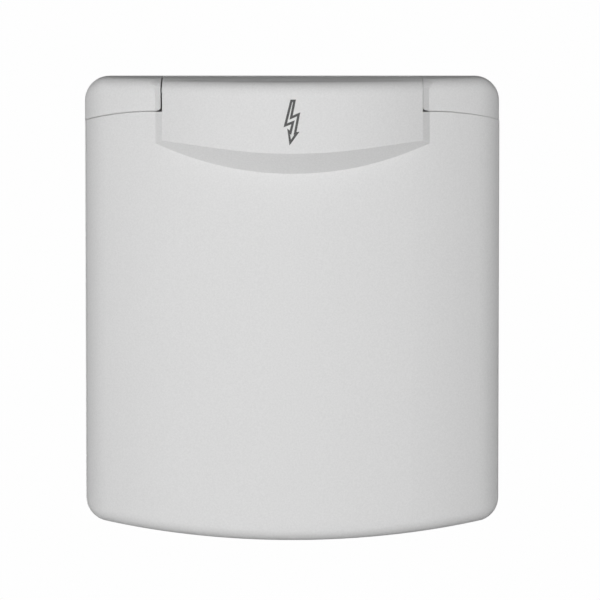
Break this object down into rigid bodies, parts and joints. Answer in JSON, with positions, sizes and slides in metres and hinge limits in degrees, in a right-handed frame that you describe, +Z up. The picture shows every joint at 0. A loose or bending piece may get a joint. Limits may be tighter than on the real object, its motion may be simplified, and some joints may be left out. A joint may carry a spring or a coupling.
{
  "type": "flush mains inlet",
  "caption": "Flush wall mains inlet with a top-hinged lid over a slanted recess that holds a shrouded pin inlet.",
  "frame": {"origin": "centre of the four wall screws, on the wall's outer face", "axes": "+X right, +Y into the wall, +Z up; the lid faces -Y"},
  "size_m": [0.134, 0.1087, 0.15],
  "materials": {
    "light_grey_asa": "fine matt moulded grain",
    "black_epdm": "matt",
    "blue_polyamide": "satin",
    "dark_polyamide": "satin",
    "grey_polyamide": "matt",
    "plated_brass": "nickel plated, bright",
    "plain_brass": "machined",
    "zinc_steel": "zinc plated",
    "nickel_magnet": "nickel plated"
  },
  "bodies": {
    "inlet": {"wall_frame": "light_grey_asa", "wall_gasket": "black_epdm", "door_seal": "black_epdm", "inlet_gasket": "black_epdm", "gland_seal": "black_epdm", "inlet_body": "blue_polyamide", "contact_insert": "dark_polyamide", "line_pin": "plated_brass", "neutral_pin": "plated_brass", "earth_pin": "plated_brass", "line_terminal": "plain_brass", "neutral_terminal": "plain_brass", "earth_terminal": "plain_brass", "terminal_screws": "zinc_steel", "inlet_screws": "zinc_steel", "rear_cover_screws": "zinc_steel", "keeper_plate": "zinc_steel", "hinge_pin_left": "zinc_steel", "hinge_pin_right": "zinc_steel", "latch_pin": "zinc_steel", "latch_spring": "zinc_steel", "rear_cover": "grey_polyamide", "gland_body": "grey_polyamide", "gland_nut": "grey_polyamide"},
    "lid": {"lid_shell": "light_grey_asa", "lid_magnet": "nickel_magnet"},
    "latch": {"plug_latch": "blue_polyamide"}
  },
  "joints": [
    {"name": "lid_hinge", "type": "hinge", "parent": "inlet", "child": "lid", "pos_m": [0, -0.0165, 0.0694], "axis": [-1, 0, 0], "range_deg": [0, 100]},
    {"name": "latch_pivot", "type": "hinge", "parent": "inlet", "child": "latch", "pos_m": [0, 0.01186, 0.03282], "axis": [-1, 0, 0], "range_deg": [0, 15], "stiffness_Nm_per_rad": 0.02, "springref_deg": -20.05}
  ]
}
